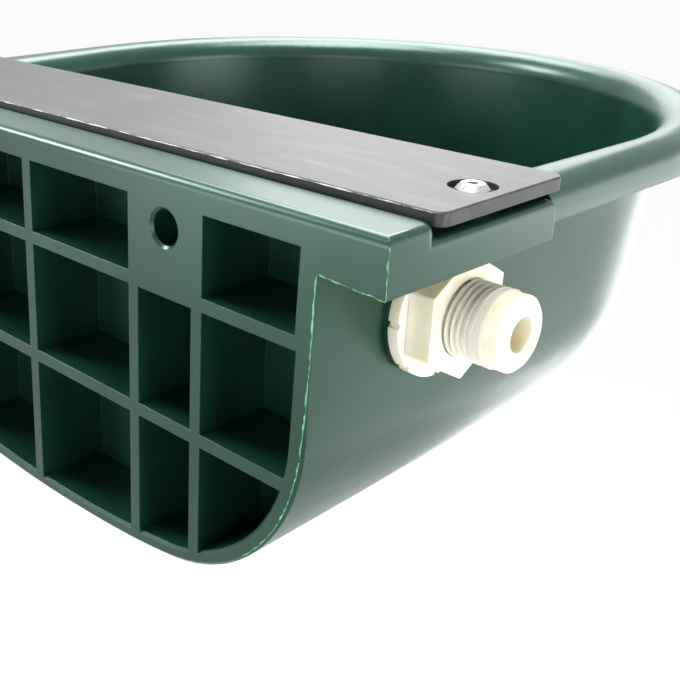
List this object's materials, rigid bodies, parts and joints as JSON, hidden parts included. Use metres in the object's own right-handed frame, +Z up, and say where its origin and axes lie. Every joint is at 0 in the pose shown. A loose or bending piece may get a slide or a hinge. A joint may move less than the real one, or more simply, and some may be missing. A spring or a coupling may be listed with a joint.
{
  "type": "livestock drinking bowl",
  "caption": "Wall-mounted livestock drinking bowl: round-fronted moulded trough with a ribbed back, a screwed cover over its float valve and a threaded side inlet.",
  "frame": {"origin": "midway between the two bolt holes, on the back plane that lies against the wall", "axes": "+X along the wall, towards the side without the inlet; +Y into the wall, so the trough reaches towards -Y; +Z up"},
  "size_m": [0.2827, 0.2697, 0.1241],
  "materials": {
    "bowl_plastic": "dark green moulded plastic, semi-gloss with a fine grain",
    "cover_plastic": "black moulded plastic, satin",
    "white_nylon": "white nylon, smooth",
    "jet_plastic": "pale acetal, smooth",
    "float_plastic": "pale blown plastic",
    "seal_rubber": "black rubber",
    "stainless": "bright stainless steel"
  },
  "bodies": {
    "bowl_body": {"bowl": "bowl_plastic", "cover": "cover_plastic", "cover_screws": "stainless", "inlet_washer": "white_nylon", "lock_nut": "white_nylon", "inlet_seal": "seal_rubber", "valve_body": "white_nylon", "jet": "jet_plastic", "hinge_pin": "stainless", "pin_clip": "stainless"},
    "float_arm": {"float_lever": "white_nylon", "adjusting_screw": "stainless", "adjusting_nut": "stainless", "float_rod": "stainless", "rod_nut": "stainless", "float_nut": "stainless", "float_upper_shell": "float_plastic", "float_lower_shell": "float_plastic"},
    "plunger": {"plunger": "jet_plastic", "plunger_seal": "seal_rubber"}
  },
  "joints": [
    {"name": "float_swing", "type": "hinge", "parent": "bowl_body", "child": "float_arm", "pos_m": [-0.0682, -0.0453, -0.0295], "axis": [0, -1, 0], "range_deg": [0, 20]},
    {"name": "plunger_slide", "type": "slide", "parent": "bowl_body", "child": "plunger", "axis": [-1, 0, 0], "range_m": [0, 0.00411]}
  ],
  "couplings": [
    {"joint": "plunger_slide", "follows": "float_swing", "m_per_rad": 0.011758}
  ]
}
